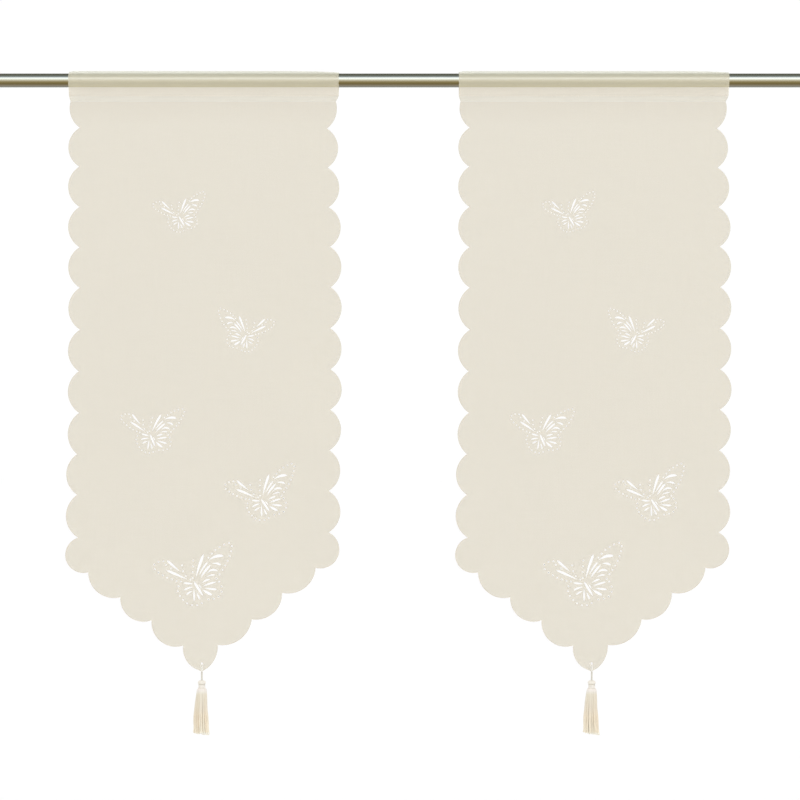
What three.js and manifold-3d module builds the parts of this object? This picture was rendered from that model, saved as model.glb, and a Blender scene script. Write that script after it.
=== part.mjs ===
// A pair of cafe curtain panels on one plain rod. Each panel is one flat length of sheer cloth
// with a rod pocket at the top, scalloped sides that run to a point, and five cut-out butterflies.
// A tassel hangs from a loop of cord through a small hole near the point.
// Millimetres. +X runs along the rod, +Z is up, and -Y faces the room.
// The origin is in the middle of the rod's axis.
import * as THREE from 'three';
import Module from 'manifold-3d';
import { mergeVertices } from 'three/addons/utils/BufferGeometryUtils.js';

const wasm = await Module();
wasm.setup();

const { cos, sin, PI, hypot, atan2, acos } = Math;
const DEGREE = PI / 180;

// Rod
const ROD_DIAMETER = 23;
const ROD_LENGTH = 1400;
const ROD_SIDES = 48;

// Panel centre lines on the rod, and the cloth with its rod pocket. Drops are down from the rod's
// axis: the crease is pressed along the top, and the hem's doubled edge hangs below the stitches.
const PANEL_CENTRES = { left: -325, right: 325 };
const CLOTH = 1;
const ROD_CLEARANCE = 0.4;
const POCKET_WIDTH = 450;
const CREASE_HEIGHT = 15.4;
const STITCH_DROP = 25.8;
const HEM_DROP = 35.3;
const HEM_SIDES = { topLeft: -224.4, topRight: 223.6, bottomLeft: -222.2, bottomRight: 220.8 };
const POCKET_ARC_STEPS = 7;

// Scalloped edges of one panel, from the hem down to the point. u is across from the panel's
// centre line and z is from the rod's axis, both at a cusp. lobe is how far the cloth between this
// cusp and the one above it stands out from the straight line between them.
const LEFT_EDGE = [
  { u: -206.9, z: -78.8, lobe: 8.1 },
  { u: -207.7, z: -143.8, lobe: 18.5 },
  { u: -207.2, z: -211.0, lobe: 18.6 },
  { u: -207.3, z: -278.1, lobe: 18.7 },
  { u: -206.9, z: -345.6, lobe: 18.8 },
  { u: -206.4, z: -415.6, lobe: 19.1 },
  { u: -208.6, z: -484.9, lobe: 18.9 },
  { u: -208.2, z: -554.2, lobe: 18.3 },
  { u: -211.6, z: -623.0, lobe: 17.1 },
  { u: -211.6, z: -691.0, lobe: 18.0 },
  { u: -210.4, z: -762.2, lobe: 19.2 },
  { u: -193.0, z: -820.2, lobe: 29.5 },
  { u: -139.4, z: -861.6, lobe: 16.6 },
  { u: -87.1, z: -900.0, lobe: 17.5 },
  { u: -34.5, z: -942.2, lobe: 18.4 },
  { u: -15.2, z: -980.4, lobe: 6.7 },
];
const RIGHT_EDGE = [
  { u: 205.4, z: -80.2, lobe: 8.4 },
  { u: 206.3, z: -145.3, lobe: 18.0 },
  { u: 208.0, z: -211.3, lobe: 18.7 },
  { u: 210.4, z: -277.0, lobe: 18.9 },
  { u: 211.3, z: -344.5, lobe: 18.4 },
  { u: 210.6, z: -412.9, lobe: 18.7 },
  { u: 210.9, z: -481.6, lobe: 18.7 },
  { u: 210.5, z: -548.8, lobe: 19.1 },
  { u: 209.2, z: -616.6, lobe: 18.8 },
  { u: 208.1, z: -684.3, lobe: 18.7 },
  { u: 208.3, z: -753.4, lobe: 19.4 },
  { u: 186.4, z: -812.8, lobe: 28.4 },
  { u: 130.4, z: -854.3, lobe: 16.0 },
  { u: 79.8, z: -898.6, lobe: 16.4 },
  { u: 23.4, z: -941.0, lobe: 16.0 },
  { u: 5.1, z: -980.4, lobe: 5.4 },
];
const TIP = { u: -3.4, z: -985.4 };
const LOBE_STEP = 9;

// Butterflies cut out of one panel: where the head end of each body lies, the wingspan, how many
// degrees the figure is turned, and which side its near wings are on.
const BUTTERFLIES = [
  { u: -41.6, z: -226.3, span: 88.5, turn: -2.7, near: 1 },
  { u: 71.1, z: -424.0, span: 94.5, turn: 2.5, near: -1 },
  { u: -89.6, z: -589.7, span: 105.4, turn: -9.8, near: 1 },
  { u: 95.5, z: -697.6, span: 119.5, turn: 1.3, near: 1 },
  { u: -16.4, z: -835.3, span: 133.7, turn: 0, near: 1 },
];

// One butterfly at a wingspan of 134 mm. Each wing is a fan of slots about its root. A slot starts
// at a distance from the root along an angle, runs on at that angle plus its lean, is widest near
// its far end, and bows sideways at its middle.
const MOTIF_SPAN = 134;
const WINGS = [
  {
    wing: 'body',
    root: { x: 0, z: 0 },
    slots: [
      { angle: -58, start: 0, lean: 0, length: 27, width: 3.2, bow: 0 },
      { angle: -24, start: 9, lean: -30, length: 8, width: 1.8, bow: 0 },
    ],
  },
  {
    wing: 'near forewing',
    root: { x: 2, z: 1 },
    slots: [
      { angle: 76, start: 8, lean: -3, length: 38, width: 4.2, bow: -1.5 },
      { angle: 62, start: 17, lean: -7, length: 22, width: 2.6, bow: -0.8 },
      { angle: 49, start: 8, lean: -1, length: 30, width: 3.5, bow: 0.8 },
      { angle: 56, start: 43, lean: -36, length: 25, width: 4.8, bow: 3.5 },
      { angle: 46, start: 41, lean: -40, length: 15, width: 3.4, bow: 2.2 },
      { angle: 35, start: 23, lean: -18, length: 20, width: 3.6, bow: 4.2 },
      { angle: 20, start: 27, lean: -11, length: 10, width: 2.6, bow: 0.8 },
    ],
  },
  {
    wing: 'near hindwing',
    root: { x: 9, z: -7 },
    slots: [
      { angle: 42, start: 7, lean: -18, length: 14, width: 2.8, bow: 0.8 },
      { angle: 10, start: 8, lean: 8, length: 21, width: 3.0, bow: 0.5 },
      { angle: -20, start: 12, lean: 12, length: 17, width: 3.6, bow: -0.8 },
      { angle: -50, start: 9, lean: 20, length: 18, width: 4.2, bow: -1 },
    ],
  },
  {
    wing: 'far forewing',
    root: { x: -4, z: 0 },
    slots: [
      { angle: 157, start: 8, lean: 0, length: 38, width: 4.0, bow: -0.8 },
      { angle: 139, start: 28, lean: -1, length: 28, width: 4.0, bow: 0.5 },
    ],
  },
  {
    wing: 'far hindwing',
    root: { x: 2, z: -4 },
    slots: [
      { angle: 174, start: 6, lean: 4, length: 14, width: 3.2, bow: 0.4 },
      { angle: 202, start: 6, lean: -4, length: 16, width: 3.2, bow: -0.8 },
      { angle: 230, start: 10, lean: -12, length: 12, width: 3.0, bow: -0.4 },
      { angle: 264, start: 8, lean: 6, length: 20, width: 3.0, bow: 0 },
      { angle: 284, start: 14, lean: 11, length: 12, width: 3.0, bow: 0 },
    ],
  },
];
const SLOT_WIDTHS = [
  { along: 0.35, share: 0.68 },
  { along: 0.75, share: 1 },
  { along: 0.95, share: 0.6 },
];

// Small hole near the point, for the cord. The cord's front leg climbs from the tassel's head to
// the hole, turns over the hole's lower edge and comes down behind the cloth. across is from the
// loop's middle line, and out is from the middle of the cloth towards the room.
const CORD_HOLE = { u: -3.4, z: -971.4, diameter: 3.8, sides: 12 };
const CORD_DIAMETER = 1.7;
const CORD_SIDES = 8;
const CORD_TURN_RADIUS = 1.8;
const CORD_TURN_STEPS = 6;
const CORD_FRONT_LEG = [
  { across: 1.05, out: 0, z: -999.7 },
  { across: 1.05, out: 0, z: -998.2 },
  { across: 1.05, out: 1.0, z: -992.5 },
  { across: 1.0, out: 1.8, z: -987.5 },
  { across: 0.6, out: 1.8, z: -979 },
];

// Tassel, with z down from the top of its head. The strands are rooted in the neck. They run in
// two rings, drift a little to the left, and end raggedly.
const HEAD_TOP = -1000;
const HEAD_PROFILE = [
  { z: 0, radius: 2.6 },
  { z: -1.2, radius: 4.6 },
  { z: -3.8, radius: 6.1 },
  { z: -6.4, radius: 5.7 },
  { z: -8, radius: 4.6 },
  { z: -11, radius: 4.7 },
  { z: -15, radius: 5.1 },
];
const HEAD_SIDES = 16;
const STRAND_RINGS = [
  { count: 22, rootShare: 0.8, share: 1 },
  { count: 11, rootShare: 0.4, share: 0.6 },
];
const STRAND_WIDTH = 1.5;
const STRAND_SIDES = 4;
const SKIRT_PROFILE = [
  { z: -13, radius: 4.2, drift: 0 },
  { z: -22, radius: 8.3, drift: -0.3 },
  { z: -48, radius: 10.7, drift: -1.6 },
  { z: -88.5, radius: 12.2, drift: -1.2 },
];
const RAGGED_END = 3.2;
const GOLDEN_SHARE = 0.618;

const finish = (color, roughness, metalness) =>
  new THREE.MeshStandardMaterial({ color, roughness, metalness });
const rodSteel = finish(0xa8a595, 0.28, 1);
const tasselYarn = finish(0xe6d9c3, 0.7, 0);
const twistedCord = finish(0xece6d8, 0.7, 0);
const voile = finish(0xe8e1d3, 0.85, 0);
voile.transparent = true;
voile.opacity = 0.75;
voile.side = THREE.DoubleSide;

const point = (x, y) => new THREE.Vector2(x, y);
const pointAt = (x, y, angle, reach) => point(x + reach * cos(angle), y + reach * sin(angle));

// Corners of an even polygon, whose flats are width apart.
const polygon = (sides, width, x = 0, y = 0) => Array.from({ length: sides }, (_, i) =>
  pointAt(x, y, 2 * PI * (i + 0.5) / sides, width / 2 / cos(PI / sides)));

// Joins closed geometries into one closed geometry.
function joined(geometries) {
  const solids = geometries.map((geometry) => {
    const plain = geometry.clone();
    plain.deleteAttribute('normal');
    plain.deleteAttribute('uv');
    const merged = mergeVertices(plain);
    return new wasm.Manifold(new wasm.Mesh({
      numProp: 3,
      vertProperties: new Float32Array(merged.attributes.position.array),
      triVerts: new Uint32Array(merged.index.array),
    }));
  });
  const mesh = solids.reduce((all, solid) => all.add(solid)).getMesh();
  const geometry = new THREE.BufferGeometry();
  geometry.setAttribute('position', new THREE.BufferAttribute(mesh.vertProperties, 3));
  geometry.setIndex(new THREE.BufferAttribute(mesh.triVerts, 1));
  geometry.computeVertexNormals();
  return geometry;
}

// Extrudes an outline drawn in X and Z, from a front depth to a back depth.
function upright(shape, front, back) {
  const geometry = new THREE.ExtrudeGeometry(shape, { depth: back - front, bevelEnabled: false });
  geometry.rotateX(PI / 2);
  geometry.translate(0, back, 0);
  return geometry;
}

// A route that an extrusion follows from each given point to the next.
class SteppedRoute extends THREE.Curve {
  constructor(points) {
    super();
    this.points = points;
  }

  getSpacedPoints() {
    return this.points;
  }

  getTangentAt(share) {
    const last = this.points.length - 1;
    const i = Math.round(share * last);
    const before = this.points[Math.max(i - 1, 0)];
    const after = this.points[Math.min(i + 1, last)];
    return after.clone().sub(before).normalize();
  }
}

function strandAlong(points, width, sides) {
  const options = { steps: points.length - 1, extrudePath: new SteppedRoute(points) };
  return new THREE.ExtrudeGeometry(new THREE.Shape(polygon(sides, width)), options);
}

// Rod: a plain round bar with flat ends
function rodGeometry() {
  const geometry = new THREE.CylinderGeometry(ROD_DIAMETER / 2, ROD_DIAMETER / 2, ROD_LENGTH, ROD_SIDES);
  geometry.rotateZ(-PI / 2);
  return geometry;
}

// Points of a round lobe from one cusp to the next, without the first cusp. outward is -1 on the
// left edge and 1 on the right one.
function lobePoints(from, to, height, outward) {
  const chord = from.distanceTo(to);
  const radius = (chord * chord / 4 + height * height) / (2 * height);
  const along = to.clone().sub(from).normalize();
  const normal = point(-along.y, along.x).multiplyScalar(outward);
  const centre = from.clone().lerp(to, 0.5).addScaledVector(normal, height - radius);
  const half = atan2(chord / 2, radius - height);
  const steps = Math.round(2 * half * radius / LOBE_STEP);
  return Array.from({ length: steps }, (_, i) => {
    const swing = half * (2 * (i + 1) / steps - 1);
    return centre.clone()
      .addScaledVector(along, radius * sin(swing))
      .addScaledVector(normal, radius * cos(swing));
  });
}

function edgePoints(start, edge, outward) {
  const cusps = [start, ...edge.map(({ u, z }) => point(u, z))];
  const lobes = edge.map(({ lobe }, i) => lobePoints(cusps[i], cusps[i + 1], lobe, outward));
  return [start, ...lobes.flat()];
}

function slotPoints(root, { angle, start, lean, length, width, bow }) {
  const foot = pointAt(root.x, root.z, angle * DEGREE, start);
  const turn = (angle + lean) * DEGREE;
  const side = (sign) => SLOT_WIDTHS.map(({ along, share }) => {
    const middle = pointAt(foot.x, foot.y, turn, length * along);
    const reach = sign * share * width / 2 + bow * 4 * along * (1 - along);
    return pointAt(middle.x, middle.y, turn + PI / 2, reach);
  });
  return [foot, ...side(-1), pointAt(foot.x, foot.y, turn, length), ...side(1).reverse()];
}

function butterflyHoles({ u, z, span, turn, near }) {
  const centre = point(0, 0);
  const place = (spot) => point(spot.x * near, spot.y)
    .multiplyScalar(span / MOTIF_SPAN)
    .rotateAround(centre, turn * DEGREE)
    .add(point(u, z));
  return WINGS.flatMap(({ root, slots }) =>
    slots.map((slot) => new THREE.Path(slotPoints(root, slot).map(place))));
}

function clothShape() {
  const { bottomLeft, bottomRight } = HEM_SIDES;
  const underHem = -(STITCH_DROP + HEM_DROP) / 2;
  const shape = new THREE.Shape([
    point(bottomLeft, underHem),
    ...edgePoints(point(bottomLeft, -HEM_DROP), LEFT_EDGE, -1),
    point(TIP.u, TIP.z),
    ...edgePoints(point(bottomRight, -HEM_DROP), RIGHT_EDGE, 1).reverse(),
    point(bottomRight, underHem),
  ]);
  const { u, z, diameter, sides } = CORD_HOLE;
  shape.holes.push(new THREE.Path(polygon(sides, diameter, u, z)), ...BUTTERFLIES.flatMap(butterflyHoles));
  return shape;
}

// One side of the pocket's section: from its foot at the stitches straight up to the rod, round
// the rod, and off it towards the crease. side is -1 in front of the rod and 1 behind it.
function pocketSide(radius, foot, crease, side) {
  const footTurn = atan2(foot.y, foot.x * side) + acos(radius / hypot(foot.x, foot.y));
  const creaseTurn = PI / 2 - acos(radius / crease);
  const arc = Array.from({ length: POCKET_ARC_STEPS + 1 }, (_, i) => {
    const turn = footTurn + (creaseTurn - footTurn) * i / POCKET_ARC_STEPS;
    return point(side * radius * cos(turn), radius * sin(turn));
  });
  return [foot, ...arc];
}

// The pocket and the cloth that it is sewn to, down to one cloth thickness below the stitches.
// The section is drawn in Y and Z. The front cloth hangs on down, and the hem is behind it.
function pocketGeometry() {
  const inner = ROD_DIAMETER / 2 + ROD_CLEARANCE;
  const outer = inner + CLOTH;
  const innerCrease = CREASE_HEIGHT * inner / outer;
  const frontFoot = point(-CLOTH / 2, -STITCH_DROP);
  const seam = point(CLOTH / 2, -STITCH_DROP);
  const backFoot = point(CLOTH * 1.5, -STITCH_DROP);
  const drop = point(0, -CLOTH);
  const section = new THREE.Shape([
    backFoot.clone().add(drop),
    ...pocketSide(outer, backFoot, CREASE_HEIGHT, 1),
    point(0, CREASE_HEIGHT),
    ...pocketSide(outer, frontFoot, CREASE_HEIGHT, -1).reverse(),
    frontFoot.clone().add(drop),
  ]);
  section.holes.push(new THREE.Path([
    ...pocketSide(inner, seam, innerCrease, 1),
    point(0, innerCrease),
    ...pocketSide(inner, seam, innerCrease, -1).slice(1).reverse(),
  ]));
  const geometry = new THREE.ExtrudeGeometry(section, { depth: POCKET_WIDTH, bevelEnabled: false });
  geometry.rotateX(PI / 2);
  geometry.rotateZ(PI / 2);
  geometry.translate(-POCKET_WIDTH / 2, 0, 0);
  return geometry;
}

function hemGeometry() {
  const { topLeft, topRight, bottomLeft, bottomRight } = HEM_SIDES;
  const shape = new THREE.Shape([
    point(topLeft, -STITCH_DROP),
    point(bottomLeft, -HEM_DROP),
    point(bottomRight, -HEM_DROP),
    point(topRight, -STITCH_DROP),
  ]);
  return upright(shape, -CLOTH / 2, CLOTH * 1.5);
}

// Panel: pocket, hem and hanging cloth are one length of cloth
const panelGeometry = () => joined([
  pocketGeometry(),
  hemGeometry(),
  upright(clothShape(), -CLOTH / 2, CLOTH / 2),
]);

// Tassel cord: one open loop, whose back leg is the front leg turned half round
function tasselCordGeometry() {
  const holeFoot = CORD_HOLE.z - CORD_HOLE.diameter / 2;
  const lean = CORD_FRONT_LEG.at(-1).across / 2;
  const frontLeg = CORD_FRONT_LEG.map(({ across, out, z }) => new THREE.Vector3(-across, -out, z));
  const turn = Array.from({ length: CORD_TURN_STEPS + 1 }, (_, i) => {
    const swing = PI * i / CORD_TURN_STEPS;
    const rise = CORD_TURN_RADIUS * sin(swing);
    return new THREE.Vector3(-lean * cos(swing), -CORD_TURN_RADIUS * cos(swing), holeFoot + rise);
  });
  const backLeg = frontLeg.map(({ x, y, z }) => new THREE.Vector3(-x, -y, z)).reverse();
  const geometry = strandAlong([...frontLeg, ...turn, ...backLeg], CORD_DIAMETER, CORD_SIDES);
  geometry.translate(CORD_HOLE.u, 0, 0);
  return geometry;
}

function headGeometry() {
  const profile = HEAD_PROFILE.map(({ z, radius }) => point(radius, z)).reverse();
  const closed = [point(0, profile[0].y), ...profile, point(0, 0)];
  const geometry = new THREE.LatheGeometry(closed, HEAD_SIDES);
  geometry.rotateX(PI / 2);
  return geometry;
}

function strandGeometry(turn, { rootShare, share }, ragged) {
  const last = SKIRT_PROFILE.length - 1;
  const points = SKIRT_PROFILE.map(({ z, radius, drift }, i) => {
    const reach = radius * (i === 0 ? rootShare : share);
    const end = i === last ? ragged : 0;
    return new THREE.Vector3(drift + reach * cos(turn), reach * sin(turn), z + end);
  });
  return strandAlong(points, STRAND_WIDTH, STRAND_SIDES);
}

// Tassel: head, neck and the strands that are rooted in it
function tasselGeometry() {
  const strands = STRAND_RINGS.flatMap((ring, level) => Array.from({ length: ring.count }, (_, i) => {
    const ragged = RAGGED_END * ((i * GOLDEN_SHARE + level / 3) % 1 - 0.5);
    return strandGeometry(2 * PI * (i + level / 2) / ring.count, ring, ragged);
  }));
  const geometry = joined([headGeometry(), ...strands]);
  geometry.translate(TIP.u, 0, HEAD_TOP);
  return geometry;
}

const group = new THREE.Group();

function addPiece(name, geometry, material, x) {
  const piece = new THREE.Mesh(geometry, material);
  piece.name = name;
  piece.position.x = x;
  group.add(piece);
}

addPiece('rod', rodGeometry(), rodSteel, 0);
const panel = panelGeometry();
const tasselCord = tasselCordGeometry();
const tassel = tasselGeometry();
for (const [side, centre] of Object.entries(PANEL_CENTRES)) {
  addPiece(`panel_${side}`, panel, voile, centre);
  addPiece(`tassel_cord_${side}`, tasselCord, twistedCord, centre);
  addPiece(`tassel_${side}`, tassel, tasselYarn, centre);
}

export default group;
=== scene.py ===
"""Looks of a pair of sheer cafe curtain panels that hang from one rod, each with a tassel at its point.

Metres in every object, +X along the rod, -Y towards the room, +Z up, and the origin in the middle of the
rod's axis. Tables are in millimetres and are turned to metres where a mesh is made from them.
"""

import math
import random
from bisect import bisect_right
from itertools import accumulate

import bpy
from mathutils import Matrix, Vector
from mathutils.geometry import delaunay_2d_cdt


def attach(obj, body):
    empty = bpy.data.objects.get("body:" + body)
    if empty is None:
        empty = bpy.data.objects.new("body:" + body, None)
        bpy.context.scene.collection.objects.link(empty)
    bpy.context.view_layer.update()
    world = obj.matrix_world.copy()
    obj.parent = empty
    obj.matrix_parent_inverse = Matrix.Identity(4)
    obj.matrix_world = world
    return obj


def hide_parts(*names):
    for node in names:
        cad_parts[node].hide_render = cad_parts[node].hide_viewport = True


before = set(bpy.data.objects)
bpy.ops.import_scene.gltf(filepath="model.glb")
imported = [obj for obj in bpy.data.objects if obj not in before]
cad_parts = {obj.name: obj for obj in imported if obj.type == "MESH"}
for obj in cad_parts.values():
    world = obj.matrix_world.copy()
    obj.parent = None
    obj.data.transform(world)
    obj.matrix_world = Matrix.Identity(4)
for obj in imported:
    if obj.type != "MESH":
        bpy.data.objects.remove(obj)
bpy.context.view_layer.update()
MM = 0.001


# Camera: the photograph is a straight-on view with next to no perspective, 1.3338 m wide at the curtain.
# A long lens five metres back gives that, level with the middle of the panels.
VIEW_WIDTH = 1.3338
VIEW_CENTRE = (0.002, -0.5327)
LENS_MM = 135
SENSOR_MM = 36

camera = bpy.data.objects.new("camera", bpy.data.cameras.new("camera"))
camera.data.lens = LENS_MM
camera.data.sensor_width = SENSOR_MM
camera.data.clip_end = 200
camera.location = (VIEW_CENTRE[0], -VIEW_WIDTH * LENS_MM / SENSOR_MM, VIEW_CENTRE[1])
camera.rotation_euler = (math.pi / 2, 0, 0)
bpy.context.scene.collection.objects.link(camera)
bpy.context.scene.camera = camera
bpy.context.scene.view_settings.view_transform = "Standard"


# Studio: a white room with one broad soft lamp from the upper right, and a pale floor 1.75 m under the rod.
# Sheer cloth lets a ray through two faces a layer, so rays may pass more see-through faces than usual.
FLOOR_DROP = 1.75
FLOOR_HALF = 40
FLOOR_WHITE = "F6F6F6"
ROOM_WHITE = "FFFFFF"
ROOM_STRENGTH = 1.01
LAMP_STRENGTH = 0.45
LAMP_SPREAD = 35
LAMP_LEAN = 52
LAMP_SWING = 15
CLEAR_FACES = 32


def linear(code):
    """An sRGB hex colour as linear red, green, blue and alpha."""
    parts = [int(code[i : i + 2], 16) / 255 for i in (0, 2, 4)]
    return (*[p / 12.92 if p <= 0.04045 else ((p + 0.055) / 1.055) ** 2.4 for p in parts], 1)


def add_node(tree, kind, inputs=(), stops=(), knots=(), **settings):
    """Adds a node with its settings.

    inputs has, for each socket by name or number, a value or what feeds it. stops are a ramp's places and
    colours, from 0 to 1, and knots are a curve's points.
    """
    node = tree.nodes.new(kind)
    for name, value in settings.items():
        setattr(node, name, value)
    for place, code in stops[1:-1]:
        node.color_ramp.elements.new(place).color = linear(code)
    for end in (0, -1) if stops else ():
        node.color_ramp.elements[end].color = linear(stops[end][1])
    if knots:
        points = node.mapping.curves[0].points
        while len(points) < len(knots):
            points.new(0.5, 0.5)
        for point, knot in zip(points, knots):
            point.location = knot
        node.mapping.update()
    for key, value in dict(inputs).items():
        if isinstance(value, bpy.types.Node):
            value = value.outputs[0]
        if isinstance(value, bpy.types.NodeSocket):
            tree.links.new(value, node.inputs[key])
        else:
            node.inputs[key].default_value = value
    return node


def new_material(name):
    """A new material and its emptied node tree."""
    material = bpy.data.materials.new(name)
    material.use_nodes = True
    material.node_tree.nodes.clear()
    return material, material.node_tree


def add_object(name, mesh, *materials):
    """A new object at the origin, with its mesh and materials."""
    piece = bpy.data.objects.new(name, mesh)
    for material in materials:
        mesh.materials.append(material)
    bpy.context.scene.collection.objects.link(piece)
    return piece


def mesh_from(name, points, faces=(), edges=()):
    """A mesh of points in metres, with its faces or its loose edges."""
    mesh = bpy.data.meshes.new(name)
    mesh.from_pydata(points, edges, faces)
    return mesh


room = bpy.data.worlds.new("white room")
room.use_nodes = True
room.node_tree.nodes["Background"].inputs["Color"].default_value = linear(ROOM_WHITE)
room.node_tree.nodes["Background"].inputs["Strength"].default_value = ROOM_STRENGTH
bpy.context.scene.world = room
bpy.context.scene.cycles.transparent_max_bounces = CLEAR_FACES

lamp = bpy.data.objects.new("soft lamp", bpy.data.lights.new("soft lamp", "SUN"))
lamp.data.energy = LAMP_STRENGTH
lamp.data.angle = math.radians(LAMP_SPREAD)
lamp.rotation_euler = (math.radians(LAMP_LEAN), 0, math.radians(LAMP_SWING))
bpy.context.scene.collection.objects.link(lamp)

floor_paint, tree = new_material("white painted studio floor")
shader = add_node(tree, "ShaderNodeBsdfPrincipled", {
    "Base Color": linear(FLOOR_WHITE), "Roughness": 0.9, "Specular IOR Level": 0.1,
})
add_node(tree, "ShaderNodeOutputMaterial", {"Surface": shader})
floor = add_object("floor", mesh_from(
    "floor",
    [(x * FLOOR_HALF, y * FLOOR_HALF, -FLOOR_DROP) for x, y in ((-1, -1), (1, -1), (1, 1), (-1, 1))],
    [(0, 1, 2, 3)],
), floor_paint)


# Card: a rolled card round the rod stands in for the studio that the photograph doesn't show. Its painted
# bands give the rod its stripes: black over the top, then white, then tan, grey below, and a narrow white one
# behind. Only the rod mirrors the card: the eye and the cloth don't see it.
CARD_REACH = 0.8
CARD_HALF_LENGTH = 1.9
CARD_STEPS = 48
CARD_BRIGHTNESS = 1.95
# The bands were fitted to the colours of the rod's rows in the photograph, so they are not those of a real
# card. Only some of those behind the rod were set one by one.
CARD_BANDS = (
    # turn up from level towards the room, seen from the rod's axis, then colour
    (-180, "E8ECEA"), (-171, "80827C"), (-160, "62645E"), (-150, "757770"), (-121, "80817D"),
    (-92, "7D7463"), (-70, "675F46"), (-50, "6B5F3A"), (-33, "7D7351"), (-16, "948B70"), (0, "B9B6A4"),
    (17, "D9DFDB"), (30, "F3FEFF"), (43, "C7D1D7"), (54, "9EA7AD"), (64, "677070"), (78, "525A56"),
    (96, "686A63"), (120, "45483E"), (170, "353931"), (180, "E8ECEA"),
)

# The card glows with its own light: its bands reach the rod as painted reflections.
glowing_banded_card, tree = new_material("banded card")
place = add_node(tree, "ShaderNodeSeparateXYZ", {0: add_node(tree, "ShaderNodeTexCoord").outputs["Object"]})
toward = add_node(tree, "ShaderNodeMath", {0: place.outputs["Y"], 1: -1}, operation="MULTIPLY")
turn = add_node(tree, "ShaderNodeMath", {0: place.outputs["Z"], 1: toward}, operation="ARCTAN2")
share = add_node(tree, "ShaderNodeMapRange", {"Value": turn, "From Min": -math.pi, "From Max": math.pi})
bands = add_node(tree, "ShaderNodeValToRGB", {"Fac": share}, stops=[
    ((degrees + 180) / 360, code) for degrees, code in CARD_BANDS
])
shader = add_node(tree, "ShaderNodeEmission", {"Color": bands, "Strength": CARD_BRIGHTNESS})
add_node(tree, "ShaderNodeOutputMaterial", {"Surface": shader})

turns = [2 * math.pi * i / CARD_STEPS - math.pi for i in range(CARD_STEPS + 1)]
card = add_object("card", mesh_from(
    "card",
    [
        (side * CARD_HALF_LENGTH, -CARD_REACH * math.cos(turn), CARD_REACH * math.sin(turn))
        for turn in turns for side in (-1, 1)
    ],
    [(2 * i, 2 * i + 1, 2 * i + 3, 2 * i + 2) for i in range(CARD_STEPS)],
), glowing_banded_card)
card.visible_camera = card.visible_diffuse = card.visible_transmission = False
card.visible_volume_scatter = card.visible_shadow = False


# Curtain rod: a welded steel tube, 23 mm across with a 0.8 mm wall, drawn and polished along its length and
# left satin. Its ends are sawn off square, a little eased, and open for the spigots of two end caps.
ROD_RADIUS = 0.0115
ROD_HALF_LENGTH = 0.7
ROD_WALL = 0.0008
ROD_EASE = 0.0002
ROD_SIDES = 96
ROD_COLOUR = "CBC8C0"
WELD_COLOUR = "DEDCD6"
WELD_HALF_WIDTH = 0.0006

outer, inner, end = ROD_RADIUS, ROD_RADIUS - ROD_WALL, ROD_HALF_LENGTH
wall = [
    (-end + ROD_EASE, outer), (end - ROD_EASE, outer), (end, outer - ROD_EASE), (end, inner + ROD_EASE),
    (end - ROD_EASE, inner), (-end + ROD_EASE, inner), (-end, inner + ROD_EASE), (-end, outer - ROD_EASE),
]
points = [
    (x, radius * math.cos(2 * math.pi * side / ROD_SIDES), radius * math.sin(2 * math.pi * side / ROD_SIDES))
    for side in range(ROD_SIDES) for x, radius in wall
]
corners = len(wall)
faces = []
for side in range(ROD_SIDES):
    here, there = side * corners, (side + 1) % ROD_SIDES * corners
    for i in range(corners):
        after = (i + 1) % corners
        faces.append((here + i, there + i, there + after, here + after))

# Drawn steel: fine lines run along the tube where the die and the polishing belt passed. They are some
# 0.05 mm apart and are drawn 0.6 mm apart to show. The weld is a faint brighter line along the back.
steel, tree = new_material("satin polished steel tube")
place = add_node(tree, "ShaderNodeTexCoord").outputs["Object"]
drawn = add_node(tree, "ShaderNodeMapping", {"Vector": place, "Scale": (2.5, 1700, 1700)})
lines = add_node(tree, "ShaderNodeTexNoise", {"Vector": drawn, "Scale": 1, "Detail": 3, "Roughness": 0.6})
smears = add_node(tree, "ShaderNodeTexNoise", {"Vector": place, "Scale": 22, "Detail": 3, "Roughness": 0.5})
rough = add_node(tree, "ShaderNodeMapRange", {"Value": lines.outputs["Fac"], "To Min": 0.13, "To Max": 0.22})
handled = add_node(tree, "ShaderNodeMapRange", {
    "Value": smears.outputs["Fac"], "To Min": -0.03, "To Max": 0.04,
})
rough = add_node(tree, "ShaderNodeMath", {0: rough, 1: handled}, operation="ADD")
height = add_node(tree, "ShaderNodeBump", {
    "Height": lines.outputs["Fac"], "Strength": 0.12, "Distance": 0.00003,
})
parts = add_node(tree, "ShaderNodeSeparateXYZ", {0: place})
aside = add_node(tree, "ShaderNodeMath", {0: parts.outputs["Z"]}, operation="ABSOLUTE")
weld = add_node(tree, "ShaderNodeMapRange", {
    "Value": aside, "From Min": WELD_HALF_WIDTH, "From Max": WELD_HALF_WIDTH / 2,
})
behind = add_node(tree, "ShaderNodeMath", {0: parts.outputs["Y"], 1: 0}, operation="GREATER_THAN")
weld = add_node(tree, "ShaderNodeMath", {0: weld, 1: behind}, operation="MULTIPLY")
colour = add_node(tree, "ShaderNodeMix", {
    "Factor": weld, 6: linear(ROD_COLOUR), 7: linear(WELD_COLOUR),
}, data_type="RGBA")
shader = add_node(tree, "ShaderNodeBsdfPrincipled", {
    "Base Color": colour.outputs[2], "Metallic": 1, "Roughness": rough, "Normal": height,
})
add_node(tree, "ShaderNodeOutputMaterial", {"Surface": shader})

rod = add_object("curtain_rod", mesh_from("curtain_rod", points, faces), steel)
rod.data.shade_smooth()
rod.data.set_sharp_from_angle(angle=math.radians(30))
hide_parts("rod")
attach(rod, "root")


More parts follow.
